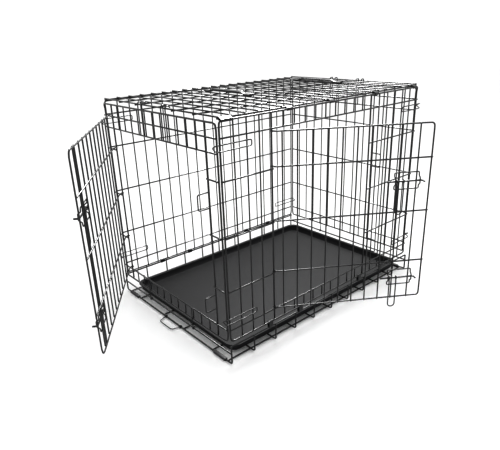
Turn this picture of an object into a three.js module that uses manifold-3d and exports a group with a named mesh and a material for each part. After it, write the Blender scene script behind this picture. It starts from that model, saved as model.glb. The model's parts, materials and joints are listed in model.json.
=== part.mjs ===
// Folding wire dog crate, 30 x 21 x 24 in class. Millimetres, +Z up, +X from front to rear, +Y from near to far side.
import * as THREE from 'three';
import Module from 'manifold-3d';

const wasm = await Module();
wasm.setup();
const { Manifold, Mesh } = wasm;

// ---- driving dimensions ----------------------------------------------------------------------
const LENGTH = 762;            // outer length between the end panels
const WIDTH = 528;             // between the inner faces of the side panels' uprights
const PITCH_COUNT_LONG = 20;   // spaces between uprights along the length
const PITCH_COUNT_WIDE = 14;   // spaces across the width
const FILL = 1.5;              // fill wire radius
const FRAME = 2.0;             // frame wire radius
const BAR = 1.75;              // long horizontal wire radius
const WELD = 0.6;              // how far crossing wires sink into each other
const LEVELS = [66, 98.5, 203, 340, 475, 570];  // heights of the horizontals, bottom rail first
const SIDE_TOP = 607;          // top rail of the side panels
const END_TOP = 602.5;         // top rail of the end panels, below the roof
const END_SECOND = 537;        // second header wire on the end panels
const SIDE_START = 7;          // first upright of a side panel
const BASE_LOW = 6.4;          // height of the floor's cross wires
const END_LOW = 4.6;           // height of the wire across each end of the floor
const END_IN = 2;              // from the cage's end to that wire
const BASE_SIDE = 7;            // how far the base's uprights stand outside the cabin
const RIM = [52, 60];          // heights of the base's near and far rims
const END_HINGE = 36;          // height of the wire each end panel turns on
const SIDE_SHIFT = 2.1;        // from the cabin's side to the middle of a side panel
const SIDE_OUT = 3.5;          // from the cabin's side to a side panel's rails
const SIDE_DOOR_POSTS = [4, 14];
const SIDE_DOOR = { width: 388, open: 34, top: 564, first: 23, pitch: 35.9, last: 60 };
const FRONT_DOOR = { width: 455, open: 35.6, top: 576, first: 27, pitch: 38.1, last: 20 };
const DOOR_LEVELS = [104, 208, 345, 481];  // heights of a door's horizontals below its top one
const FRONT_POSTS = [45, WIDTH - 45];
const DOOR_OUT = 7.1;          // offset of a door's horizontals from its hinge post
const BOLT_LEVELS = [166, 427];
const BOLT_OUT = 16.4;         // offset of a bolt from the hinge post's plane
const BOLT_RADIUS = 2.2;
const BOLT_TIP = 12;            // how far the bolt's end is turned out
const KEEPER_OUT = 34;          // reach of a keeper, which the turned end slides through
const TRAY = { x0: 22, x1: 750, y0: 14, y1: 514, low: 9.4, rim: 30.6, wall: 1.6, flange: 7 };
const ROOF = 611;              // height of the roof's long wires
const PIVOT_GAP = 0.45;        // clearance between a hinge loop and the wire in it

const sidePitch = (LENGTH - 2 * SIDE_START) / PITCH_COUNT_LONG;
const endPitch = (WIDTH - 10) / PITCH_COUNT_WIDE;
const sideX = (k) => SIDE_START + k * sidePitch;
const endY = (k) => 5 + k * endPitch;
const V = (x, y, z) => new THREE.Vector3(x, y, z);

// ---- solids ----------------------------------------------------------------------------------
// A wire swept along a polyline with mitred corners; up is where one edge of its section points.
function wire(points, radius, up, { sides = 4, closed = false } = {}) {
  const count = points.length;
  const ways = [];
  for (let i = 0; i < (closed ? count : count - 1); i++) {
    ways.push(points[(i + 1) % count].clone().sub(points[i]).normalize());
  }
  const square = (v, way) => v.clone().addScaledVector(way, -v.dot(way));
  const ridge = square(up, ways[0]).normalize();
  const across = ways[0].clone().cross(ridge);
  let offsets = Array.from({ length: sides }, (_, s) => {
    const turn = (2 * Math.PI * s) / sides;
    return ridge.clone().multiplyScalar(radius * Math.cos(turn))
      .addScaledVector(across, radius * Math.sin(turn));
  });
  const position = [];
  for (let i = 0; i < count; i++) {
    const before = ways[closed ? (i + ways.length - 1) % ways.length : Math.max(i - 1, 0)];
    const after = ways[Math.min(i, ways.length - 1)];
    const mitre = before.clone().add(after).normalize();
    const way = i === 0 ? after : before;
    offsets = offsets.map((o) => {
      const p = o.clone().addScaledVector(way, -o.dot(mitre) / way.dot(mitre));
      position.push(...points[i].clone().add(p).toArray());
      return square(p, after);
    });
  }
  const index = [];
  const rings = closed ? count : count - 1;
  for (let i = 0; i < rings; i++) {
    const a = i * sides;
    const b = ((i + 1) % count) * sides;
    for (let s = 0; s < sides; s++) {
      const t = (s + 1) % sides;
      index.push(a + s, a + t, b + s, a + t, b + t, b + s);
    }
  }
  if (!closed) {
    const last = (count - 1) * sides;
    for (let s = 1; s < sides - 1; s++) {
      index.push(0, s + 1, s, last, last + s, last + s + 1);
    }
  }
  return solid(position, index);
}

function solid(position, index) {
  return new Manifold(new Mesh({
    numProp: 3, vertProperties: new Float32Array(position), triVerts: new Uint32Array(index),
  }));
}

function fromGeometry(geometry) {
  const mesh = new Mesh({
    numProp: 3, vertProperties: new Float32Array(geometry.attributes.position.array),
    triVerts: new Uint32Array(geometry.index
      ? geometry.index.array : geometry.attributes.position.array.map((_, i) => i)
        .slice(0, geometry.attributes.position.count)),
  });
  mesh.merge();
  return new Manifold(mesh);
}

const join = (parts) => Manifold.union(parts);
const Z = V(0, 0, 1);

function ring(centre, axis, radius, wireRadius, segments = 8) {
  const u = (Math.abs(axis.z) > 0.5 ? V(1, 0, 0) : Z).clone();
  const w = axis.clone().cross(u);
  const points = Array.from({ length: segments }, (_, i) => {
    const turn = (2 * Math.PI * (i + 0.5)) / segments;
    return centre.clone().addScaledVector(u, radius * Math.cos(turn))
      .addScaledVector(w, radius * Math.sin(turn));
  });
  return wire(points, wireRadius, axis, { closed: true });
}

// A welded grille: uprights and bars are lists of straight wires in two layers that just meet.
// at(u, v, w) maps along, up and outward offsets into space.
function grille(at, uprights, bars) {
  const out = at(0, 0, 1).sub(at(0, 0, 0));
  return join([
    ...uprights.map(([u, v0, v1, r = FILL]) =>
      wire([at(u, v0, -r), at(u, v1, -r)], r, out)),
    ...bars.map(([v, u0, u1, r = BAR]) =>
      wire([at(u0, v, r - WELD), at(u1, v, r - WELD)], r, out)),
  ]);
}

// ---- scene graph -----------------------------------------------------------------------------
const crate = new THREE.Group();
crate.name = 'wire_dog_crate';
const COAT = { color: 0x17181a, roughness: 0.38, metalness: 0.35 };
const ZINC = { color: 0x2a2c2f, roughness: 0.42, metalness: 0.6 };
const PAN = { color: 0x16171a, roughness: 0.55, metalness: 0.0 };
const FOOT = { color: 0x3d4043, roughness: 0.75, metalness: 0.0 };

function add(name, body, look, parent = crate) {
  const mesh = body.getMesh();
  const geometry = new THREE.BufferGeometry();
  geometry.setAttribute('position', new THREE.BufferAttribute(mesh.vertProperties, 3));
  geometry.setIndex(new THREE.BufferAttribute(mesh.triVerts, 1));
  geometry.computeVertexNormals();
  const item = new THREE.Mesh(geometry, new THREE.MeshStandardMaterial(look));
  item.name = name;
  parent.add(item);
  return item;
}

// ---- base frame, feet, tray ------------------------------------------------------------------
const FLOOR_RUNS = [12, 76, 212, 316, 452, 516];
{
  const parts = [];
  const sides = [-BASE_SIDE, WIDTH + BASE_SIDE];
  for (let k = 0; k <= 10; k++) {
    const end = k % 10 === 0;
    const x = END_IN + (k * (LENGTH - 2 * END_IN)) / 10;
    const low = end ? END_LOW : BASE_LOW;
    parts.push(wire([V(x, sides[0], RIM[0] + 4), V(x, sides[0], low),
      V(x, sides[1], low), V(x, sides[1], RIM[1] + 4)], end ? FRAME : BAR, V(0, 1, 0)));
  }
  const under = BASE_LOW - 2 * BAR + WELD;
  for (const y of FLOOR_RUNS) {
    parts.push(wire([V(END_IN, y, under), V(LENGTH - END_IN, y, under)], BAR, Z));
  }
  for (const x of [0, LENGTH]) {
    parts.push(wire([V(x, sides[0], END_HINGE), V(x, sides[1], END_HINGE)], FRAME, Z));
  }
  parts.push(wire([V(0, -SIDE_OUT, RIM[0]), V(LENGTH, -SIDE_OUT, RIM[0])], FRAME, V(0, 1, 0)));
  parts.push(wire([V(0, WIDTH + SIDE_OUT, RIM[1]), V(LENGTH, WIDTH + SIDE_OUT, RIM[1])], FRAME,
    V(0, 1, 0)));
  add('base_frame', join(parts), COAT);
}

function foot(name, x, y) {
  const half = 24;
  const shape = new THREE.Shape();
  const hole = new THREE.Path();
  const size = 5.4;
  const points = [[-size, -END_LOW], [size, -END_LOW], [size, 1.4], [2.6, 3.7], [-2.6, 3.7],
    [-size, 1.4]];
  points.forEach(([a, b], i) => (i ? shape.lineTo(a, b) : shape.moveTo(a, b)));
  const bore = FRAME + 0.35;
  [[bore, 0], [0, -bore], [-bore, 0], [0, bore]].forEach(([a, b], i) =>
    (i ? hole.lineTo(a, b) : hole.moveTo(a, b)));
  shape.closePath();
  hole.closePath();
  shape.holes.push(hole);
  const geometry = new THREE.ExtrudeGeometry(shape, { depth: 2 * half, bevelEnabled: false });
  geometry.rotateX(Math.PI / 2);
  geometry.translate(x, y + half, END_LOW);
  add(name, fromGeometry(geometry), FOOT);
}
foot('foot_front_near', END_IN, 42);
foot('foot_front_far', END_IN, WIDTH - 42);
foot('foot_rear_near', LENGTH - END_IN, 42);
foot('foot_rear_far', LENGTH - END_IN, WIDTH - 42);

function roundedBox(x0, x1, y0, y1, radius, z0, z1) {
  const shape = new THREE.Shape();
  shape.moveTo(x0 + radius, y0);
  shape.lineTo(x1 - radius, y0).absarc(x1 - radius, y0 + radius, radius, -Math.PI / 2, 0);
  shape.lineTo(x1, y1 - radius).absarc(x1 - radius, y1 - radius, radius, 0, Math.PI / 2);
  shape.lineTo(x0 + radius, y1).absarc(x0 + radius, y1 - radius, radius, Math.PI / 2, Math.PI);
  shape.lineTo(x0, y0 + radius).absarc(x0 + radius, y0 + radius, radius, Math.PI, Math.PI * 1.5);
  const geometry = new THREE.ExtrudeGeometry(shape, { depth: z1 - z0, bevelEnabled: false,
    curveSegments: 3 });
  geometry.translate(0, 0, z0);
  return fromGeometry(geometry);
}
{
  const { x0, x1, y0, y1, low, rim, wall, flange } = TRAY;
  const pan = roundedBox(x0 + flange, x1 - flange, y0 + flange, y1 - flange, 24, low, rim);
  const lip = roundedBox(x0, x1, y0, y1, 30, rim - wall, rim);
  const inside = roundedBox(x0 + flange + wall, x1 - flange - wall, y0 + flange + wall,
    y1 - flange - wall, 22, low + wall, rim + 1);
  add('tray', pan.add(lip).subtract(inside), PAN);
}

// The wire catch that stands in front of the tray; stored swung forward so the tray can slide.
{
  const y = [226, 302];
  const loops = y.map((v) => ring(V(END_IN, v, END_LOW), V(0, 1, 0), 3.5, 0.95));
  const bail = wire([V(-1.1, y[0], 4.6), V(-20, y[0] + 6, 3.6), V(-24, y[0] + 12, 3.5),
    V(-24, y[1] - 12, 3.5), V(-20, y[1] - 6, 3.6), V(-1.1, y[1], 4.6)], 1.3, Z);
  add('tray_catch', join([...loops, bail]), COAT);
}

// ---- side panels -----------------------------------------------------------------------------
const nearSide = (u, v, w) => V(u, -SIDE_SHIFT - w, v);
const farSide = (u, v, w) => V(u, WIDTH + SIDE_SHIFT + w, v);

function sideUprights(door) {
  const list = [];
  for (let k = 0; k <= PITCH_COUNT_LONG; k++) {
    const u = sideX(k);
    const post = k === 0 || k === PITCH_COUNT_LONG || (door && SIDE_DOOR_POSTS.includes(k));
    const r = post ? FRAME : FILL;
    if (door && k > SIDE_DOOR_POSTS[0] && k < SIDE_DOOR_POSTS[1]) {
      list.push([u, LEVELS[0] - 1.5, LEVELS[1] + 1.5, r], [u, LEVELS[5] - 1.5, SIDE_TOP + 1.5, r]);
    } else {
      list.push([u, LEVELS[0] - 1.5, SIDE_TOP + 1.5, r]);
    }
  }
  return list;
}
const sideEnds = [SIDE_START - 1.6, LENGTH - SIDE_START + 1.6];
const framed = [LEVELS[0], SIDE_TOP].map((v) => [v, ...sideEnds, FRAME]);
const doorSpan = SIDE_DOOR_POSTS.map(sideX);
add('near_side', grille(nearSide, sideUprights(true), [
  ...framed, [LEVELS[1], ...sideEnds], [LEVELS[5], ...sideEnds],
  ...[2, 3, 4].flatMap((i) => [
    [LEVELS[i], sideEnds[0], doorSpan[0] + 1.6], [LEVELS[i], doorSpan[1] - 1.6, sideEnds[1]],
  ]),
]), COAT);
add('far_side', grille(farSide, sideUprights(false), [
  ...framed, ...LEVELS.slice(1).map((v) => [v, ...sideEnds]),
]), COAT);

// ---- end panels ------------------------------------------------------------------------------
const frontEnd = (u, v, w) => V(-w + 2.9 - FRAME, u, v);
const rearEnd = (u, v, w) => V(LENGTH + w - 2.9 + FRAME, u, v);
const endSpan = [3, WIDTH - 3];
const HOOK_Y = [199, 219, WIDTH - 219, WIDTH - 199];
const HINGE_HOOK_Y = [endY(4), endY(10)];

function endPanel(at, door) {
  const uprights = [];
  const top = END_TOP + 1.5;
  for (let k = 0; k <= PITCH_COUNT_WIDE; k++) {
    const u = endY(k);
    const edge = k === 0 || k === PITCH_COUNT_WIDE;
    if (!door || edge) {
      uprights.push([u, LEVELS[0] - 1.5, top, edge ? FRAME : FILL]);
    } else if (u > FRONT_POSTS[0] + 8 && u < FRONT_POSTS[1] - 8) {
      uprights.push([u, LEVELS[0] - 1.5, LEVELS[1] + 1.5], [u, END_SECOND - 1.5, top]);
    }
  }
  if (door) FRONT_POSTS.forEach((u) => uprights.push([u, LEVELS[0] - 1.5, top, FRAME]));
  const bars = [[LEVELS[0], ...endSpan, FRAME], [END_TOP, ...endSpan, FRAME],
    [LEVELS[5], ...endSpan], [END_SECOND, ...endSpan]];
  for (const v of [LEVELS[1], LEVELS[2], LEVELS[3], LEVELS[4]]) {
    if (!door || v === LEVELS[1]) bars.push([v, ...endSpan]);
    else {
      bars.push([v, endSpan[0], FRONT_POSTS[0] + 1.6], [v, FRONT_POSTS[1] - 1.6, endSpan[1]]);
    }
  }
  const parts = [grille(at, uprights, bars)];
  const out = at(0, 0, 1).sub(at(0, 0, 0));
  const w = 2 * BAR - WELD + FILL - WELD;
  for (const u of HOOK_Y) {
    parts.push(wire([at(u, END_SECOND - 2, -FILL), at(u, 617, -FILL), at(u, 620.5, -FILL - 3.5),
      at(u, 620.5, -12), at(u, 616, -16)], FILL, out));
  }
  for (const u of HINGE_HOOK_Y) {
    const pivot = at(u, END_HINGE, 0);
    pivot.x = pivot.x > 100 ? LENGTH : 0;
    parts.push(wire([at(u, LEVELS[1] + 2, w), at(u, LEVELS[0] - 10, w),
      pivot.clone().addScaledVector(out, 1.6).add(V(0, 0, 3.4))], 1.3, out));
    parts.push(ring(pivot, V(0, 1, 0), FRAME + PIVOT_GAP + 1.2, 1.15));
  }
  return join(parts);
}
add('front_end', endPanel(frontEnd, true), COAT);
add('rear_end', endPanel(rearEnd, false), COAT);

// ---- roof ------------------------------------------------------------------------------------
{
  const y = [4.5, 92, 178, 264, 350, 436, WIDTH - 4.5];
  const parts = [];
  for (let k = 0; k <= PITCH_COUNT_LONG; k++) {
    const r = k % PITCH_COUNT_LONG === 0 ? BAR : FILL;
    parts.push(wire([V(sideX(k), 2.8, ROOF + FRAME + r - WELD), V(sideX(k), WIDTH - 2.8,
      ROOF + FRAME + r - WELD)], r, Z));
  }
  y.forEach((v, i) => {
    const r = i % 6 === 0 ? FRAME : BAR;
    parts.push(wire([V(sideEnds[0], v, ROOF + FRAME - r), V(sideEnds[1], v, ROOF + FRAME - r)], r, Z));
  });
  add('roof_panel', join(parts), COAT);
}

// ---- doors, bolts, keepers -------------------------------------------------------------------
// A door is built shut in its own frame: u from the hinge post, v up, w outward.
function doorFrame(name, hinge, turn) {
  const group = new THREE.Group();
  group.name = name;
  group.position.copy(hinge);
  group.rotation.z = turn;
  crate.add(group);
  return group;
}
const shut = (u, v, w) => V(u, -w, v);

function door(name, group, { width, top, first, pitch, last }) {
  const uprights = [];
  const low = DOOR_LEVELS[0];
  const high = top;
  for (let u = first; u < width - last; u += pitch) uprights.push([u, low - 1.5, high + 1.5, FILL]);
  uprights.push([width - 34, low - 1.5, high + 1.5, FILL], [width, low - 1.5, high + 1.5, FRAME]);
  const bar = DOOR_OUT;
  const upright = bar + BAR + FILL - WELD;
  const parts = uprights.map(([u, v0, v1, r]) =>
    wire([shut(u, v0, upright - FILL + r), shut(u, v1, upright - FILL + r)], r, shut(0, 0, 1)));
  const loop = FRAME + PIVOT_GAP + 1.2;
  for (const v of [...DOOR_LEVELS, high]) {
    parts.push(wire([shut(0.5, v, loop + 0.3), shut(5, v, loop + 0.6), shut(11, v, bar),
      shut(width + (v === low || v === high ? 1.6 : 5), v, bar)], BAR, shut(0, 0, 1)));
    parts.push(ring(V(0, 0, v), Z, loop, 1.15));
  }
  add(name, join(parts), COAT, group);
}

// A sliding bolt: guide loop standing off the door, a rod behind it and a handle loop on the rod.
function bolt(name, group, width, v) {
  const out = shut(0, 0, 1);
  const seat = DOOR_OUT + BAR + 2 * FILL - WELD + 0.4 + FILL;
  const guide = [width - 91, width - 29];
  const face = BOLT_OUT + BOLT_RADIUS + 1.8;
  const bulge = (u) => [shut(u, v - 21, seat), shut(u, v - 9, face), shut(u, v + 9, face),
    shut(u, v + 21, seat)];
  add(`${name}_guide`, wire([...bulge(guide[0]), ...bulge(guide[1]).reverse()], FILL, out,
    { closed: true }), COAT, group);
  const rod = wire([shut(width - 111, v, BOLT_OUT), shut(width - 25, v, BOLT_OUT),
    shut(width - 21, v, BOLT_OUT + 4), shut(width - 21, v, BOLT_OUT + BOLT_TIP)], BOLT_RADIUS, out,
  { sides: 6 });
  add(`${name}_bolt`, rod, ZINC, group);
  const swing = BOLT_RADIUS + PIVOT_GAP + 1.2;
  const arms = [width - 86.5, width - 68.5];
  const loops = arms.map((u) => ring(shut(u, v, BOLT_OUT), V(1, 0, 0), swing, 1.15));
  const hang = BOLT_OUT + 1.9;
  const bail = wire([shut(arms[0], v - swing + 0.4, BOLT_OUT + 1), shut(arms[0], v - 15, hang),
    shut(arms[0], v - 74, hang), shut(arms[0] + 6, v - 84, hang), shut(arms[1] - 6, v - 84, hang),
    shut(arms[1], v - 74, hang), shut(arms[1], v - 15, hang),
    shut(arms[1], v - swing + 0.4, BOLT_OUT + 1)], FILL, out);
  add(`${name}_handle`, join([...loops, bail]), ZINC, group);
}

const sideDoor = doorFrame('side_door_frame', nearSide(doorSpan[0], 0, -FRAME),
  THREE.MathUtils.degToRad(-SIDE_DOOR.open));
door('side_door', sideDoor, SIDE_DOOR);
BOLT_LEVELS.forEach((v, i) => bolt(`side_${['lower', 'upper'][i]}`, sideDoor, SIDE_DOOR.width, v));

const frontHinge = frontEnd(FRONT_POSTS[1], 0, -FRAME);
const frontDoor = doorFrame('front_door_frame', frontHinge,
  THREE.MathUtils.degToRad(-90 - FRONT_DOOR.open));
door('front_door', frontDoor, FRONT_DOOR);
BOLT_LEVELS.forEach((v, i) => bolt(`front_${['lower', 'upper'][i]}`, frontDoor, FRONT_DOOR.width, v));

// Keepers are loops that stand out beside each latch post and take the bolt's end.
function keeper(name, at, u, v) {
  const half = 19;
  add(name, wire([at(u, v - half, 3.9), at(u, v - half, KEEPER_OUT), at(u, v + half, KEEPER_OUT),
    at(u, v + half, 3.9)], 1.5, Z), COAT);
}
BOLT_LEVELS.forEach((v, i) => {
  const which = ['lower', 'upper'][i];
  keeper(`side_${which}_keeper`, nearSide, doorSpan[1] + 7, v);
  keeper(`front_${which}_keeper`, (u, h, w) => V(-w, u, h), FRONT_POSTS[0] - 7, v);
});

// ---- corner hooks ----------------------------------------------------------------------------
function cornerHook(name, at, end, v) {
  const s = end ? -1 : 1;
  const x = (d) => (end ? LENGTH : 0) + s * d;
  const w = 2 * FRAME - WELD + 1.9;
  add(name, wire([at(x(84), v - 7, w), at(x(90), v, w), at(x(84), v + 7, w), at(x(2), v + 7, w),
    at(x(-8), v + 6, w - 3), at(x(-8), v, w - 14), at(x(-8), v - 6, w - 3), at(x(2), v - 7, w)],
  1.4, at(0, 0, 1).sub(at(0, 0, 0)), { closed: true }), COAT);
}
for (const [side, at] of [['near', nearSide], ['far', farSide]]) {
  for (const [i, end] of ['front', 'rear'].entries()) {
    cornerHook(`${side}_hook_${end}_low`, at, i, 126);
    cornerHook(`${side}_hook_${end}_high`, at, i, 550);
  }
}

// ---- clips -----------------------------------------------------------------------------------
// A flat steel clip folded round two parallel wires that run along X.
function clip(name, x, a, b, length) {
  const around = FRAME + PIVOT_GAP + 1.1;
  const way = b.clone().sub(a).normalize();
  const side = V(1, 0, 0).cross(way);
  const at = (p, along, across) => p.clone().addScaledVector(way, along).addScaledVector(side, across);
  const outline = (grow) => [
    at(a, -grow, -grow * 0.55), at(b, grow, -grow * 0.55), at(b, grow, grow * 0.55), at(a, -grow, grow * 0.55),
    at(a, -grow * 0.55, grow), at(b, grow * 0.55, grow), at(b, grow * 0.55, -grow), at(a, -grow * 0.55, -grow),
  ];
  const order = [7, 6, 1, 2, 5, 4, 3, 0];
  const outer = order.map((i) => outline(around)[i]);
  const inner = order.map((i) => outline(around - 1.0)[i]);
  const shape = new THREE.Shape(outer.map((p) => new THREE.Vector2(p.y, p.z)));
  shape.holes.push(new THREE.Path(inner.map((p) => new THREE.Vector2(p.y, p.z))));
  const geometry = new THREE.ExtrudeGeometry(shape, { depth: length, bevelEnabled: false });
  geometry.applyMatrix4(new THREE.Matrix4().makeBasis(V(0, 1, 0), V(0, 0, 1), V(1, 0, 0)));
  geometry.translate(x - length / 2, 0, 0);
  add(name, fromGeometry(geometry), ZINC);
}
[0.5, 5.5, 9.5, 14.5, 19.5].forEach((k, i) =>
  clip(`roof_clip_${i + 1}`, sideX(k), V(0, -SIDE_OUT, SIDE_TOP), V(0, 4.5, ROOF), i === 0 ? 30 : 16));
[3.5, 6.5, 13.5, 16.5].forEach((k, i) => {
  clip(`near_clip_${i + 1}`, sideX(k), V(0, -SIDE_OUT, RIM[0]), V(0, -SIDE_OUT, LEVELS[0]), 14);
  clip(`far_clip_${i + 1}`, sideX(k), V(0, WIDTH + SIDE_OUT, RIM[1]), V(0, WIDTH + SIDE_OUT, LEVELS[0]), 14);
});

// ---- carry handles on the roof ---------------------------------------------------------------
function carryHandle(name, x) {
  const y = [205, 300];
  const shape = new THREE.Shape();
  const z = ROOF + FRAME + 2 * FILL + 0.3;
  const top = [[y[0] - 10, z], [y[0] + 14, z], [y[0] + 26, z + 5], [y[1] + 62, z + 5], [y[1] + 74, z],
    [y[1] + 98, z], [y[1] + 98, z + 6], [y[1] + 80, z + 7], [y[1] + 66, z + 11], [y[0] + 22, z + 11],
    [y[0] + 8, z + 7], [y[0] - 10, z + 6]];
  top.forEach(([a, b], i) => (i ? shape.lineTo(a, b) : shape.moveTo(a, b)));
  shape.closePath();
  const geometry = new THREE.ExtrudeGeometry(shape, { depth: 14, bevelEnabled: false });
  geometry.applyMatrix4(new THREE.Matrix4().makeBasis(V(0, 1, 0), V(0, 0, 1), V(1, 0, 0)));
  geometry.translate(x - 7, 0, 0);
  add(name, fromGeometry(geometry), PAN);
}
carryHandle('carry_handle_front', 268);
carryHandle('carry_handle_rear', 642);

// ---- stand the whole on the floor, centred on its bounding box -------------------------------
crate.updateMatrixWorld(true);
const box = new THREE.Box3().setFromObject(crate, true);
crate.position.set(-(box.min.x + box.max.x) / 2, -(box.min.y + box.max.y) / 2, -box.min.z);

export default crate;
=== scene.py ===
"""A folding wire dog crate in round wire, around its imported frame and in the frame's axes."""

import json
import math

import bmesh
import bpy
from mathutils import Matrix, Vector


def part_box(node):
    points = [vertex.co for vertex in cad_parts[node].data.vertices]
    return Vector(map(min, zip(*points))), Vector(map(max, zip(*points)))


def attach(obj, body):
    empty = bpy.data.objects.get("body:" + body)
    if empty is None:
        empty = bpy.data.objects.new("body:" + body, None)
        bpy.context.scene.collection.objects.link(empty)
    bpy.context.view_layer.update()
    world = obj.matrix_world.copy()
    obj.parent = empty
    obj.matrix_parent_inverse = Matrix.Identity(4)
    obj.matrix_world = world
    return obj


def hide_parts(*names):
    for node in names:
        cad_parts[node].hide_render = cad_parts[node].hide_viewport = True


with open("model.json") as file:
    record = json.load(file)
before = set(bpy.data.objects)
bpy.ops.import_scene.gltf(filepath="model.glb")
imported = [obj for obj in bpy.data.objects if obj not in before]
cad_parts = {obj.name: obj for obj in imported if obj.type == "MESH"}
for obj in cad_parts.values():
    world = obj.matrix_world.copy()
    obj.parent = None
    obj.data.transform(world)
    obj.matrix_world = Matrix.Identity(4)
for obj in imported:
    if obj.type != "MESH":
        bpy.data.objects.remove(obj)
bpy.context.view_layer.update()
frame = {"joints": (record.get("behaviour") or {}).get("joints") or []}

MM = 0.001
# ---- driving dimensions in millimetres ---------------------------------------------------------
LENGTH, WIDTH = 762.0, 528.0           # between the end panels, and between the side panels
SPACES_LONG, SPACES_WIDE = 20, 14      # spaces between uprights
FILL, FRAME, BAR, WELD = 1.65, 2.15, 1.9, 0.5  # wire radii, and how far a weld sinks in
THIN_FILL, THIN_FRAME, THIN_BAR = 1.5, 2.0, 1.75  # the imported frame's radii, which set the layers
THIN_WELD, THIN_BOLT = 0.6, 2.2
SLIM, HOOP = 1.45, 1.85                # wire of the bolts' fittings, and of a door's edge
LOOP_WIRE, CLEARANCE = 1.15, 1.2       # hinge loops: wire radius, and wire centre beyond the play
LEVELS = [66, 98.5, 203, 340, 475, 570]  # the panels' horizontals, bottom rail first
SIDE_TOP, END_TOP, END_SECOND = 607, 602.5, 537  # top rails, and the end panels' second header
SIDE_START, SIDE_SHIFT, SIDE_OUT = 7, 2.1, 3.5  # first upright; side panel's and rails' offsets
END_SHIFT = 0.9                        # from the cage's end in to an end panel's meeting plane
BASE_SIDE, BASE_LOW, END_LOW, END_IN, RIM = 7, 6.4, 4.6, 2, (52, 60)
END_HINGE = 36                         # height of the wire that each end panel turns on
HINGE_UPRIGHTS = (4, 10)               # end uprights with a hinge hook below
ROOF_HOOKS = (199, 219, WIDTH - 219, WIDTH - 199)
HOOK_LEVELS = (("low", 126), ("high", 550))
SIDE_POSTS = (4, 14)                   # uprights beside the side doorway
FRONT_POSTS = (45, WIDTH - 45)
DOOR_LEVELS = [104, 208, 345, 481]     # a door's horizontals below its top one
SIDE_DOOR = dict(width=388, turn=-34, top=564, first=23, pitch=35.9, last=60, fill=1.65)
FRONT_DOOR = dict(width=455, turn=-125.6, top=576, first=27, pitch=38.1, last=20, fill=1.85)
DOOR_OUT = 7.1                         # a door's horizontals, outward from its hinge post
BOLT_OUT, BOLT_RADIUS, BOLT_TIP = 16.4, 2.15, 12  # a bolt's offset, and the length turned outward
KEEPER_OUT, KEEPER_BESIDE = 34, 7      # a keeper's reach, and its distance from the latch post
BOLT_LEVELS = {"lower": 166, "upper": 427}
TRAY = dict(x0=22, x1=750, y0=14, y1=514, low=9.4, rim=30.6, wall=1.6, flange=7)
ROOF, ROOF_EDGE = 611, 4.5             # the roof's long wires: height, and inset of the outer two
ROOF_RUNS = [ROOF_EDGE, 92, 178, 264, 350, 436, WIDTH - ROOF_EDGE]
FLOOR_RUNS = [12, 76, 212, 316, 452, 516]
FEET_IN = 42                           # from the cage's side to the middle of a foot
PIVOT_GAP = 0.45                       # play of a loop round its wire
WIRE_CREASE, SOLID_CREASE = 55, 38     # degrees; sharper edges are not smoothed

JOINTS = {j["name"]: j for j in frame["joints"]}
# the crate's front near corner at floor level, in the row frame
CORNER = Vector(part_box("base_frame")[0]) + Vector((2.0, BASE_SIDE + 2.0, 0)) * MM
CORNER.z = 0.0


def side_x(k):
    return SIDE_START + k * (LENGTH - 2 * SIDE_START) / SPACES_LONG


def end_y(k):
    return 5 + k * (WIDTH - 10) / SPACES_WIDE


def crate_at(x, y, z):
    """A point of the crate in millimetres from its front near corner, in the row frame."""
    return CORNER + Vector((x, y, z)) * MM


# ---- materials -----------------------------------------------------------------------------------
def material(name, base, rough, metal=0.0, coat=0.0, gloss=0.5, mottled=0.15, grain=900.0,
             bump=0.0):
    """A finish whose tone and roughness wander a little over the surface."""
    made = bpy.data.materials.new(name)
    made.use_nodes = True
    nodes, links = made.node_tree.nodes, made.node_tree.links
    shader = nodes["Principled BSDF"]
    shader.inputs["Metallic"].default_value = metal
    shader.inputs["Coat Weight"].default_value = coat
    shader.inputs["Specular IOR Level"].default_value = gloss
    shader.inputs["Coat Roughness"].default_value = 0.2
    place = nodes.new("ShaderNodeTexCoord")
    cloud = nodes.new("ShaderNodeTexNoise")
    cloud.inputs["Scale"].default_value = 14.0
    cloud.inputs["Detail"].default_value = 4.0
    links.new(place.outputs["Object"], cloud.inputs["Vector"])
    tone = nodes.new("ShaderNodeValToRGB")
    tone.color_ramp.elements[0].position = 0.3
    tone.color_ramp.elements[1].position = 0.72
    tone.color_ramp.elements[0].color = (*[c * (1 - mottled) for c in base], 1)
    tone.color_ramp.elements[1].color = (*[c * (1 + mottled) for c in base], 1)
    links.new(cloud.outputs["Fac"], tone.inputs["Fac"])
    links.new(tone.outputs["Color"], shader.inputs["Base Color"])
    spread = nodes.new("ShaderNodeMapRange")
    spread.inputs["To Min"].default_value = max(rough - 0.07, 0.05)
    spread.inputs["To Max"].default_value = rough + 0.07
    links.new(cloud.outputs["Fac"], spread.inputs["Value"])
    links.new(spread.outputs["Result"], shader.inputs["Roughness"])
    if bump:
        fine = nodes.new("ShaderNodeTexNoise")
        fine.inputs["Scale"].default_value = grain
        links.new(place.outputs["Object"], fine.inputs["Vector"])
        raised = nodes.new("ShaderNodeBump")
        raised.inputs["Strength"].default_value = bump
        raised.inputs["Distance"].default_value = 0.0003
        links.new(fine.outputs["Fac"], raised.inputs["Height"])
        links.new(raised.outputs["Normal"], shader.inputs["Normal"])
    return made


COATED = material("black_coat", (0.012, 0.0122, 0.013), 0.34, coat=0.35)
BOLT_COAT = material("bolt_coat", (0.016, 0.0165, 0.018), 0.3, metal=0.15, coat=0.3)
PAN = material("pan_plastic", (0.024, 0.0243, 0.026), 0.58, gloss=0.3, bump=0.35, grain=1400)
FOOT = material("foot_plastic", (0.05, 0.051, 0.054), 0.62, bump=0.3, grain=1100)
STRAP = material("strap_plastic", (0.015, 0.015, 0.016), 0.5, bump=0.25, grain=1200)


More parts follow.
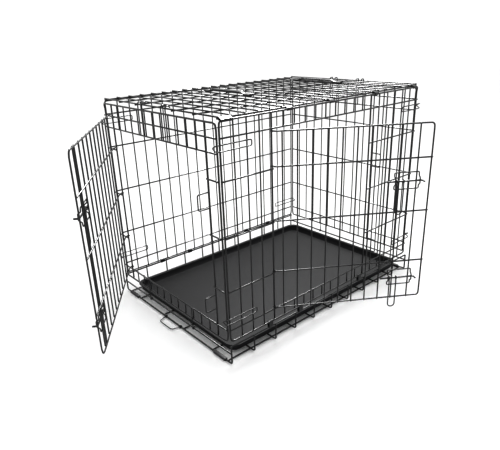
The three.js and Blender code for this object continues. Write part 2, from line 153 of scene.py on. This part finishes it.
# ---- wire ----------------------------------------------------------------------------------------
def rounded(points, radius, closed=False, steps=5):
    """The polyline with each corner turned into an arc."""
    count = len(points)
    path = []
    for i, here in enumerate(points):
        if not closed and i in (0, count - 1):
            path.append(here.copy())
            continue
        back, on = points[i - 1] - here, points[(i + 1) % count] - here
        angle = back.angle(on)
        if angle > math.radians(178):
            path.append(here.copy())
            continue
        reach = min(radius / math.tan(angle / 2), 0.49 * back.length, 0.49 * on.length)
        a, b = here + back.normalized() * reach, here + on.normalized() * reach
        middle = (back.normalized() + on.normalized()).normalized()
        true = reach * math.tan(angle / 2)
        centre = here + middle * (true / math.sin(angle / 2))
        first, last = (a - centre).normalized(), (b - centre).normalized()
        path += [centre + first.slerp(last, s / steps) * true for s in range(steps + 1)]
    return path


class Wires:
    """Round wire gathered into one mesh."""

    def __init__(self):
        self.verts, self.faces = [], []

    def run(self, points, radius, closed=False, bend=4.0, sides=10):
        """A wire along the points, in millimetres; bend is the radius of its corners."""
        path = rounded([Vector(p) for p in points], bend, closed)
        path = [p for i, p in enumerate(path) if i == 0 or (p - path[i - 1]).length > 1e-4]
        if closed and (path[0] - path[-1]).length < 1e-4:
            path.pop()
        count = len(path)
        ways = [(path[(i + 1) % count] - path[i]).normalized()
                for i in range(count if closed else count - 1)]
        up = Vector((0, 0, 1)) if abs(ways[0].z) < 0.9 else Vector((1, 0, 0))
        side = ways[0].cross(up).normalized()
        rings = []
        for i, p in enumerate(path):
            before = ways[i - 1] if closed or i else ways[0]
            after = ways[i % len(ways)] if closed or i < count - 1 else ways[-1]
            way = (before + after).normalized()
            side = (side - way * side.dot(way)).normalized()
            rings.append((p, side.copy(), way.cross(side), radius))
        start = len(self.verts)
        if not closed:  # a wire's cut end is broken over a little
            (p, *first, _), (q, *last, _) = rings[0], rings[-1]
            nose = min(0.35 * radius, 0.2 * (path[1] - path[0]).length)
            tail = min(0.35 * radius, 0.2 * (path[-1] - path[-2]).length)
            rings[0] = (p + ways[0] * nose, *first, radius)
            rings[-1] = (q - ways[-1] * tail, *last, radius)
            rings = [(p, *first, 0.7 * radius)] + rings + [(q, *last, 0.7 * radius)]
        for p, u, v, r in rings:
            for s in range(sides):
                turn = 2 * math.pi * s / sides
                self.verts.append(p + (u * math.cos(turn) + v * math.sin(turn)) * r)
        total = len(rings)
        for i in range(total if closed else total - 1):
            a, b = start + i * sides, start + ((i + 1) % total) * sides
            shift = 0
            if closed and i == total - 1:  # meet the first ring where it is nearest
                shift = min(range(sides),
                            key=lambda s: (self.verts[a] - self.verts[b + s]).length)
            for s in range(sides):
                t = (s + 1) % sides
                self.faces.append((a + s, a + t, b + (t + shift) % sides, b + (s + shift) % sides))
        if not closed:
            self.faces.append(tuple(start + s for s in reversed(range(sides))))
            end = start + (total - 1) * sides
            self.faces.append(tuple(end + s for s in range(sides)))

    def ring(self, centre, axis, radius, wire, turns=1):
        """A closed loop of wire round an axis or, with more turns, a coil that climbs along it."""
        axis = Vector(axis).normalized()
        u = Vector((0, 0, 1)) if abs(axis.z) < 0.5 else Vector((1, 0, 0))
        u = (u - axis * u.dot(axis)).normalized()
        v = axis.cross(u)
        closed, steps, climb = turns == 1, 16, 2.15 * wire
        points = []
        for i in range(steps * turns + (0 if closed else 1)):
            turn = 2 * math.pi * i / steps
            point = Vector(centre) + (u * math.cos(turn) + v * math.sin(turn)) * radius
            points.append(point if closed else point + axis * climb * (i / steps - turns / 2))
        self.run(points, wire, closed=closed, bend=0.01)

    def build(self, name, look, body, node, place=crate_at):
        """Makes the piece that shows these wires in the place of a node."""
        make_piece(name, self.verts, self.faces, look, body, node, WIRE_CREASE, place)


def make_piece(name, verts, faces, look, body, node, crease=SOLID_CREASE, place=crate_at):
    """A mesh that rides a body and is seen instead of a node; place maps to the row frame."""
    mesh = bpy.data.meshes.new(name)
    mesh.from_pydata([place(*p) for p in verts], [], faces)
    mesh.validate()
    bm = bmesh.new()
    bm.from_mesh(mesh)
    bmesh.ops.recalc_face_normals(bm, faces=bm.faces)
    bm.to_mesh(mesh)
    bm.free()
    for p in mesh.polygons:
        p.use_smooth = True
    mesh.set_sharp_from_angle(angle=math.radians(crease))
    mesh.materials.append(look)
    piece = bpy.data.objects.new(name, mesh)
    bpy.context.scene.collection.objects.link(piece)
    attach(piece, body)
    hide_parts(node)


# ---- grilles -------------------------------------------------------------------------------------
def near_side(u, v, w):
    return (u, -SIDE_SHIFT - w, v)


def far_side(u, v, w):
    return (u, WIDTH + SIDE_SHIFT + w, v)


def front_end(u, v, w):
    return (END_SHIFT - w, u, v)


def rear_end(u, v, w):
    return (LENGTH - END_SHIFT + w, u, v)


def grille(wires, at, uprights, bars):
    """Uprights behind and bars in front, meeting at w = 0."""
    for u, v0, v1, *r in uprights:
        r = r[0] if r else FILL
        wires.run([at(u, v0, -r), at(u, v1, -r)], r)
    for v, u0, u1, *r in bars:
        r = r[0] if r else BAR
        wires.run([at(u0, v, r - WELD), at(u1, v, r - WELD)], r)


def hoop(wires, at, u0, u1, v0, v1):
    """A panel's outer frame: one wire whose corners step from the rails' layer to the posts'."""
    rail, post = FRAME - WELD, -FRAME
    slip = 16  # how far from a corner the wire starts to change layers
    wires.run([at(u0 + slip, v0, rail), at(u1 - slip, v0, rail), at(u1, v0, (rail + post) / 2),
               at(u1, v0 + slip, post), at(u1, v1 - slip, post), at(u1, v1, (rail + post) / 2),
               at(u1 - slip, v1, rail), at(u0 + slip, v1, rail), at(u0, v1, (rail + post) / 2),
               at(u0, v1 - slip, post), at(u0, v0 + slip, post), at(u0, v0, (rail + post) / 2)],
              FRAME, closed=True, bend=7)


def side_panel(node, at, door):
    """A long side; with a door, its middle uprights are cut away between two posts."""
    wires = Wires()
    hoop(wires, at, side_x(0), side_x(SPACES_LONG), LEVELS[0], SIDE_TOP)
    uprights = []
    for k in range(1, SPACES_LONG):
        u = side_x(k)
        if door and SIDE_POSTS[0] < k < SIDE_POSTS[1]:
            uprights += [(u, LEVELS[0] - 1, LEVELS[1] + 1.5), (u, LEVELS[5] - 1.5, SIDE_TOP + 1)]
        else:
            uprights.append((u, LEVELS[0] - 1, SIDE_TOP + 1,
                             FRAME if door and k in SIDE_POSTS else FILL))
    ends = (side_x(0) - 1.3, side_x(SPACES_LONG) + 1.3)
    bars = [(LEVELS[1], *ends), (LEVELS[5], *ends)]
    posts = [side_x(k) for k in SIDE_POSTS]
    for v in LEVELS[2:5]:
        if door:
            bars += [(v, ends[0], posts[0] + 1.4), (v, posts[1] - 1.4, ends[1])]
        else:
            bars.append((v, *ends))
    grille(wires, at, uprights, bars)
    wires.build(node + "_wires", COATED, "crate", node)


# along the panel from the cage's end, up from the middle, and outward
CORNER_LOOP = ((80, -7, 0), (90, -6, 0), (90, 6, 0), (80, 7, 0), (2, 7, 0), (-7.4, 6.4, -2.4),
               (-8, 3.2, -9), (-8, 0, -14), (-8, -3.2, -9), (-7.4, -6.4, -2.4), (2, -7, 0))


def corner_hook(node, at, rear, v):
    """A long loop welded to the side panel that springs round the end panel's corner."""
    flip, start = (-1, LENGTH) if rear else (1, 0)
    outside = 2 * THIN_FRAME - THIN_WELD + 1.9
    wires = Wires()
    wires.run([at(start + flip * d, v + h, outside + o) for d, h, o in CORNER_LOOP], 1.35,
              closed=True, bend=3.2)
    wires.build(node, COATED, "crate", node)


def end_panel(node, at, door, body):
    """An end grille, its hooks over the roof, and the hooks that it turns on."""
    wires = Wires()
    span = (end_y(0), end_y(SPACES_WIDE))
    hoop(wires, at, *span, LEVELS[0], END_TOP)
    top = END_TOP + 1
    uprights = []
    for k in range(1, SPACES_WIDE):
        u = end_y(k)
        if not door:
            uprights.append((u, LEVELS[0] - 1, top))
        elif FRONT_POSTS[0] + 8 < u < FRONT_POSTS[1] - 8:
            uprights += [(u, LEVELS[0] - 1, LEVELS[1] + 1.5), (u, END_SECOND - 1.5, top)]
    if door:
        uprights += [(u, LEVELS[0] - 1, top, FRAME) for u in FRONT_POSTS]
    ends = (span[0] - 1.3, span[1] + 1.3)
    bars = [(v, *ends) for v in (LEVELS[1], END_SECOND, LEVELS[5])]
    for v in LEVELS[2:5]:
        if door:
            bars += [(v, ends[0], FRONT_POSTS[0] + 1.4), (v, FRONT_POSTS[1] - 1.4, ends[1])]
        else:
            bars.append((v, *ends))
    grille(wires, at, uprights, bars)
    pivot_x, away = (0, -1) if node == "front_end" else (LENGTH, 1)
    for u in ROOF_HOOKS:
        wires.run([at(u, END_SECOND - 2, -THIN_FILL), at(u, 616.7, -THIN_FILL), at(u, 620.5, -5),
                   at(u, 620.5, -11.5), at(u, 615.5, -15.5)], THIN_FILL, bend=3.0)
    outside = 2 * THIN_BAR - THIN_WELD + THIN_FILL - THIN_WELD
    for k in HINGE_UPRIGHTS:
        u = end_y(k)
        wires.run([at(u, LEVELS[1] + 2, outside), at(u, LEVELS[0] - 10, outside),
                   (pivot_x + away * 2.4, u, END_HINGE + 3.6)], 1.3, bend=5)
        wires.ring((pivot_x, u, END_HINGE), (0, 1, 0), FRAME + PIVOT_GAP + CLEARANCE, LOOP_WIRE)
    wires.build(node + "_wires", COATED, body, node)


for side, at in (("near", near_side), ("far", far_side)):
    side_panel(f"{side}_side", at, side == "near")
    for end in ("front", "rear"):
        for height, v in HOOK_LEVELS:
            corner_hook(f"{side}_hook_{end}_{height}", at, end == "rear", v)
end_panel("front_end", front_end, True, "crate")
end_panel("rear_end", rear_end, False, "rear_end")

# ---- roof ----------------------------------------------------------------------------------------
roof = Wires()
roof_top = ROOF + THIN_FRAME  # where the two layers meet
for k in range(SPACES_LONG + 1):
    r = BAR if k % SPACES_LONG == 0 else FILL
    z = roof_top + r - WELD
    roof.run([(side_x(k), 3, z), (side_x(k), WIDTH - 3, z)], r)
for y in ROOF_RUNS:
    r = FRAME if y in (ROOF_RUNS[0], ROOF_RUNS[-1]) else BAR
    roof.run([(side_x(0) - 1.4, y, roof_top - r), (side_x(SPACES_LONG) + 1.4, y, roof_top - r)], r)
roof.build("roof_wires", COATED, "roof", "roof_panel")

# ---- base ----------------------------------------------------------------------------------------
base = Wires()
sides = (-BASE_SIDE, WIDTH + BASE_SIDE)
for k in range(11):
    end = k % 10 == 0
    x, low = END_IN + k * (LENGTH - 2 * END_IN) / 10, END_LOW if end else BASE_LOW
    base.run([(x, sides[0], RIM[0] + 3.5), (x, sides[0], low), (x, sides[1], low),
              (x, sides[1], RIM[1] + 3.5)], FRAME if end else BAR, bend=6)
under = BASE_LOW - 2 * THIN_BAR + THIN_WELD  # the long floor wires lie below the cross wires
for y in FLOOR_RUNS:
    base.run([(END_IN, y, under), (LENGTH - END_IN, y, under)], BAR)
for x in (0, LENGTH):
    base.run([(x, sides[0] - 1, END_HINGE), (x, sides[1] + 1, END_HINGE)], FRAME)
base.run([(0, -SIDE_OUT, RIM[0]), (LENGTH, -SIDE_OUT, RIM[0])], FRAME)
base.run([(0, WIDTH + SIDE_OUT, RIM[1]), (LENGTH, WIDTH + SIDE_OUT, RIM[1])], FRAME)
base.build("base_wires", COATED, "crate", "base_frame")


def tube_faces(rings, sides):
    """The walls and the two ends of a row of rings of points."""
    faces = []
    for a in range(0, (rings - 1) * sides, sides):
        for s in range(sides):
            t = (s + 1) % sides
            faces.append((a + s, a + t, a + sides + t, a + sides + s))
    return faces + [tuple(range(sides)), tuple((rings - 1) * sides + s for s in range(sides))]


def foot(node, x, y):
    """A plastic sleeve snapped over the end wire, flat underneath and worn flat on top."""
    half, nose, narrow, sides = 24, 1.2, 0.82, 20
    profile = []
    for i in range(sides):
        turn = 2 * math.pi * i / sides
        profile.append((5.2 * math.cos(turn), min(max(5.0 * math.sin(turn), -END_LOW), 3.6)))
    rings = ((-half, narrow), (nose - half, 1), (half - nose, 1), (half, narrow))
    verts = [(x + a * scale, y + d, END_LOW + (b if b < 0 else b * scale))
             for d, scale in rings for a, b in profile]
    make_piece(node + "_sleeve", verts, tube_faces(len(rings), sides), FOOT,
               "crate", node)


for end, x in (("front", END_IN), ("rear", LENGTH - END_IN)):
    foot(f"foot_{end}_near", x, FEET_IN)
    foot(f"foot_{end}_far", x, WIDTH - FEET_IN)


# ---- tray ----------------------------------------------------------------------------------------
def tray():
    """A pan whose cross-section is followed round a rectangle with round corners."""
    t = TRAY
    f, wall = t["flange"], t["wall"]
    # each step: inset from the lip's edge, height, corner radius
    section = [(f + 3.0, t["low"], 21), (f + 0.6, t["low"] + 2.2, 24), (f, t["rim"] - 4.0, 25),
               (f - 1.2, t["rim"] - 2.2, 26), (0.4, t["rim"] - 1.9, 30), (0, t["rim"] - 1.0, 30),
               (0.6, t["rim"], 30), (f - 0.4, t["rim"], 26), (f + wall, t["rim"] - 1.6, 24),
               (f + wall + 0.5, t["rim"] - 5.0, 23), (f + wall + 1.6, t["low"] + wall + 3.5, 22),
               (f + wall + 5.0, t["low"] + wall, 18)]
    corner_steps = 8
    verts = []
    for inset, z, radius in section:
        x0, x1, y0, y1 = t["x0"] + inset, t["x1"] - inset, t["y0"] + inset, t["y1"] - inset
        for cx, cy, start in ((x1 - radius, y0 + radius, -90), (x1 - radius, y1 - radius, 0),
                              (x0 + radius, y1 - radius, 90), (x0 + radius, y0 + radius, 180)):
            for s in range(corner_steps + 1):
                turn = math.radians(start + 90 * s / corner_steps)
                verts.append((cx + radius * math.cos(turn), cy + radius * math.sin(turn), z))
    faces = tube_faces(len(section), 4 * (corner_steps + 1))
    make_piece("tray_pan", verts, faces, PAN, "tray", "tray")


tray()

# the wire catch in front of the tray, swung forward, with a coil round the floor wire at each arm
catch = Wires()
near_arm, far_arm = 226, 302
for y in (near_arm, far_arm):
    catch.ring((END_IN, y, END_LOW), (0, 1, 0), 3.5, 0.95, turns=3)
catch.run([(-1.3, near_arm, END_LOW), (-20, near_arm + 6, 3.6), (-24, near_arm + 12, 3.5),
           (-24, far_arm - 12, 3.5), (-20, far_arm - 6, 3.6), (-1.3, far_arm, END_LOW)],
          1.25, bend=5)
catch.build("tray_catch_wire", COATED, "tray_catch", "tray_catch")


# ---- doors ---------------------------------------------------------------------------------------
def door_place(joint, turn_deg):
    """Maps a door's own millimetres (u from its post, w outward, v up) to the row frame."""
    post = Vector(JOINTS[joint]["pos_m"])
    turn = Matrix.Rotation(math.radians(turn_deg), 4, "Z")

    def place(x, y, z):
        spot = turn @ (Vector((x, y, 0)) * MM)
        return Vector((post.x + spot.x, post.y + spot.y, z * MM))
    return place


def shut(u, v, w):
    return (u, -w, v)


def door(name, size, place):
    """A grille whose horizontals are bent into loops round the hinge post."""
    low, high, width, fill = DOOR_LEVELS[0], size["top"], size["width"], size["fill"]
    wires = Wires()
    upright = DOOR_OUT + THIN_BAR - 0.3 + FILL - 0.2
    places, u = [width - 34], size["first"]
    while u < width - size["last"]:
        places.append(u)
        u += size["pitch"]
    for u in places:
        wires.run([shut(u, low - 1.2, upright), shut(u, high + 1.2, upright)], fill)
    loop = FRAME + PIVOT_GAP + CLEARANCE
    # the top and bottom wires are one bent hoop that carries the door's free edge
    lead = [(0.8, loop + 0.2), (5.5, loop + 0.7), (11, DOOR_OUT), (16, DOOR_OUT)]
    wires.run([shut(a, high, b) for a, b in lead]
              + [shut(width - 14, high, DOOR_OUT), shut(width, high, DOOR_OUT + 1.2),
                 shut(width, high - 14, upright), shut(width, low + 14, upright),
                 shut(width, low, DOOR_OUT + 1.2), shut(width - 14, low, DOOR_OUT)]
              + [shut(a, low, b) for a, b in reversed(lead)], HOOP, bend=9)
    for v in DOOR_LEVELS[1:]:
        wires.run([shut(a, v, b) for a, b in lead] + [shut(width + 4.6, v, DOOR_OUT)], BAR, bend=6)
    for v in (*DOOR_LEVELS, high):
        wires.ring((0, 0, v), (0, 0, 1), loop, LOOP_WIRE)
    wires.build(f"{name}_door_wires", COATED, f"{name}_door", f"{name}_door", place)


def bolt_guide(key, door_body, v, width, place):
    """A wire rectangle on the door whose ends stand out round the bolt."""
    seat = DOOR_OUT + THIN_BAR + 3 * THIN_FILL - THIN_WELD + 0.4
    face = BOLT_OUT + THIN_BOLT + 1.85
    bulge = [(-21, seat - 0.3), (-12, seat + 0.4), (-7, face), (7, face), (12, seat + 0.4),
             (21, seat - 0.3)]
    wires = Wires()
    wires.run([shut(width - 91, v + h, w) for h, w in bulge]
              + [shut(width - 29, v + h, w) for h, w in reversed(bulge)], SLIM, closed=True, bend=3)
    wires.build(f"{key}_guide_wire", COATED, door_body, f"{key}_guide", place)


def bolt_rod(key, v, width, place):
    """The bolt, its end turned outward."""
    wires = Wires()
    wires.run([shut(width - 111, v, BOLT_OUT), shut(width - 21, v, BOLT_OUT),
               shut(width - 21, v, BOLT_OUT + BOLT_TIP)], BOLT_RADIUS, bend=5, sides=14)
    wires.build(f"{key}_bolt_rod", BOLT_COAT, f"{key}_bolt", f"{key}_bolt", place)


def bolt_handle(key, v, width, place):
    """A long loop that hangs from two rings round the bolt."""
    swing = THIN_BOLT + PIVOT_GAP + CLEARANCE
    left, right, hang, bottom = width - 86.5, width - 68.5, BOLT_OUT + 1.9, v - 84
    wires = Wires()
    for u in (left, right):
        wires.ring(shut(u, v, BOLT_OUT), (1, 0, 0), swing, LOOP_WIRE)
    wires.run([shut(left, v - swing + 0.4, BOLT_OUT + 1), shut(left, v - 15, hang),
               shut(left, bottom, hang), shut(right, bottom, hang),
               shut(right, v - 15, hang), shut(right, v - swing + 0.4, BOLT_OUT + 1)],
              SLIM, bend=8.4)
    wires.build(f"{key}_handle_loop", BOLT_COAT, f"{key}_handle", f"{key}_handle",
                place)


for name, size in (("side", SIDE_DOOR), ("front", FRONT_DOOR)):
    place = door_place(f"{name}_door_hinge", size["turn"])
    door(name, size, place)
    for which, v in BOLT_LEVELS.items():
        key = f"{name}_{which}"
        bolt_guide(key, f"{name}_door", v, size["width"], place)
        bolt_rod(key, v, size["width"], place)
        bolt_handle(key, v, size["width"], place)


def keeper(node, at, u, v):
    """A wire staple beside the doorway, which the bolt slides into."""
    half, root = 19, 3.9
    wires = Wires()
    wires.run([at(u, v - half, root), at(u, v - half, KEEPER_OUT), at(u, v + half, KEEPER_OUT),
               at(u, v + half, root)], SLIM, bend=5)
    wires.build(node + "_wire", COATED, "crate", node)


def front_face(u, v, w):
    return (-w, u, v)


for which, v in BOLT_LEVELS.items():
    keeper(f"side_{which}_keeper", near_side, side_x(SIDE_POSTS[1]) + KEEPER_BESIDE, v)
    keeper(f"front_{which}_keeper", front_face, FRONT_POSTS[0] - KEEPER_BESIDE, v)


# ---- clips ---------------------------------------------------------------------------------------
def clip(node, x, a, b, length, body):
    """A strip of steel folded round two parallel wires; a and b are their (y, z) places."""
    inner, gauge, steps = THIN_FRAME + PIVOT_GAP + 0.1, 1.0, 8
    a, b = Vector(a), Vector(b)
    way = (b - a).normalized()
    side = Vector((-way.y, way.x))
    outline = []
    for radius in (inner, inner + gauge):
        row = []
        for centre, start in ((b, -90), (a, 90)):
            for s in range(steps + 1):
                turn = math.radians(start + 180 * s / steps)
                row.append(centre + way * radius * math.cos(turn) + side * radius * math.sin(turn))
        outline.append(row)
    count = len(outline[0])
    verts, faces = [], []
    for d in (-length / 2, length / 2):
        for row in outline:
            verts += [(x + d, p.x, p.y) for p in row]
    for s in range(count):
        e = (s + 1) % count
        faces += [(s, e, 2 * count + e, 2 * count + s),
                  (count + s, 3 * count + s, 3 * count + e, count + e),
                  (s, count + s, count + e, e),
                  (2 * count + s, 2 * count + e, 3 * count + e, 3 * count + s)]
    make_piece(node + "_strip", verts, faces, BOLT_COAT, body, node)


# a half space puts a clip midway between two uprights
for i, (k, length) in enumerate(((0.5, 30), (5.5, 16), (9.5, 16), (14.5, 16), (19.5, 16)), 1):
    clip(f"roof_clip_{i}", side_x(k), (-SIDE_OUT, SIDE_TOP), (ROOF_EDGE, ROOF), length, "roof")
for i, k in enumerate((3.5, 6.5, 13.5, 16.5), 1):
    for side, y, rim in (("near", -SIDE_OUT, RIM[0]), ("far", WIDTH + SIDE_OUT, RIM[1])):
        clip(f"{side}_clip_{i}", side_x(k), (y, rim), (y, LEVELS[0]), 14, "crate")


# ---- carry handles -------------------------------------------------------------------------------
def ramp(t, start, length):
    """From 0 at start to 1 a length further on."""
    return min(max((t - start) / length, 0), 1)


def carry_handle(node, x):
    """A strap bowed up over the roof, with a foot at each end and a narrower grip."""
    y0, y1, z = 195.0, 398.0, ROOF + THIN_FRAME + 2 * THIN_FILL + 0.3
    steps, half, thick, bow, ring, square = 40, 7.0, 5.5, 5.0, 8, 1.3
    verts = []
    for i in range(steps + 1):
        t = i / steps
        y = y0 + t * (y1 - y0)
        rise = ramp(min(t, 1 - t), 0.1, 0.1)
        rise = rise * rise * (3 - 2 * rise)
        width = half * (1 - 0.18 * ramp(min(t, 1 - t), 0.2, 0.06))
        low, high = z + bow * rise, z + thick + (bow + 0.3) * rise
        for s in range(ring):
            turn = 2 * math.pi * (s + 0.5) / ring
            a, b = (math.copysign(min(abs(c) * square, 1), c)
                    for c in (math.cos(turn), math.sin(turn)))
            verts.append((x + a * width, y, (low + high) / 2 + b * (high - low) / 2))
    make_piece(node + "_strap", verts, tube_faces(steps + 1, ring), STRAP, "roof",
               node)


carry_handle("carry_handle_front", 268)
carry_handle("carry_handle_rear", 642)

# ---- floor, light, camera ------------------------------------------------------------------------
FLOOR_HALF = 9.0
floor_mesh = bpy.data.meshes.new("floor")
floor_mesh.from_pydata([(a * FLOOR_HALF, b * FLOOR_HALF, 0)
                        for a, b in ((-1, -1), (1, -1), (1, 1), (-1, 1))], [], [(0, 1, 2, 3)])
floor = bpy.data.objects.new("floor", floor_mesh)
bpy.context.scene.collection.objects.link(floor)
floor_look = bpy.data.materials.new("floor_white")
floor_look.use_nodes = True
shader = floor_look.node_tree.nodes["Principled BSDF"]
shader.inputs["Base Color"].default_value = (0.93, 0.93, 0.93, 1)
shader.inputs["Roughness"].default_value = 0.7
floor_mesh.materials.append(floor_look)

world = bpy.data.worlds.new("studio")
world.use_nodes = True
world.node_tree.nodes["Background"].inputs["Color"].default_value = (1, 1, 1, 1)
world.node_tree.nodes["Background"].inputs["Strength"].default_value = 1.1
bpy.context.scene.world = world
bpy.context.scene.view_settings.view_transform = "Standard"
bpy.context.scene.view_settings.gamma = 0.65  # keeps thin black wires dark against white


def softbox(name, place, aim, size, power):
    """A square area light, in metres and watts."""
    data = bpy.data.lights.new(name, "AREA")
    data.shape, data.size, data.energy = "SQUARE", size, power
    light = bpy.data.objects.new(name, data)
    light.location = place
    light.rotation_euler = (Vector(aim) - Vector(place)).to_track_quat("-Z", "Y").to_euler()
    bpy.context.scene.collection.objects.link(light)
    return light


middle = Vector((0, 0, 0.3))
softbox("key", (-1.2, -2.2, 2.6), middle, 1.6, 9)
softbox("fill", (2.4, -1.6, 2.2), middle, 1.8, 4)
softbox("back", (0.6, 2.6, 2.4), middle, 1.8, 4)
gleam = softbox("gleam", middle + Vector((0.45, 0.25, 0.857)) * 3, middle, 1.2, 380)
gleam.visible_diffuse = False  # it is only seen reflected in the coat

# the camera stands in front of the near front corner, a little above the roof
EYE = (-614.6, -824.0, 777.4)  # in the crate's millimetres
YAW, PITCH, ROLL = 49.765, 21.44, -2.08  # degrees: from +X towards +Y, downward, clockwise
FOCAL = 35.51  # for a sensor 36 mm wide
camera_data = bpy.data.cameras.new("camera")
camera_data.sensor_width = 36.0
camera_data.lens = FOCAL
camera = bpy.data.objects.new("camera", camera_data)
yaw, pitch, roll = map(math.radians, (YAW, PITCH, ROLL))
ahead = Vector((math.cos(yaw) * math.cos(pitch), math.sin(yaw) * math.cos(pitch), -math.sin(pitch)))
right = Vector((math.sin(yaw), -math.cos(yaw), 0))
up = right.cross(ahead)
right, up = (right * math.cos(roll) + up * math.sin(roll),
             up * math.cos(roll) - right * math.sin(roll))
turned = Matrix((right, up, -ahead)).transposed().to_4x4()
camera.matrix_world = Matrix.Translation(crate_at(*EYE)) @ turned
bpy.context.scene.collection.objects.link(camera)
bpy.context.scene.camera = camera
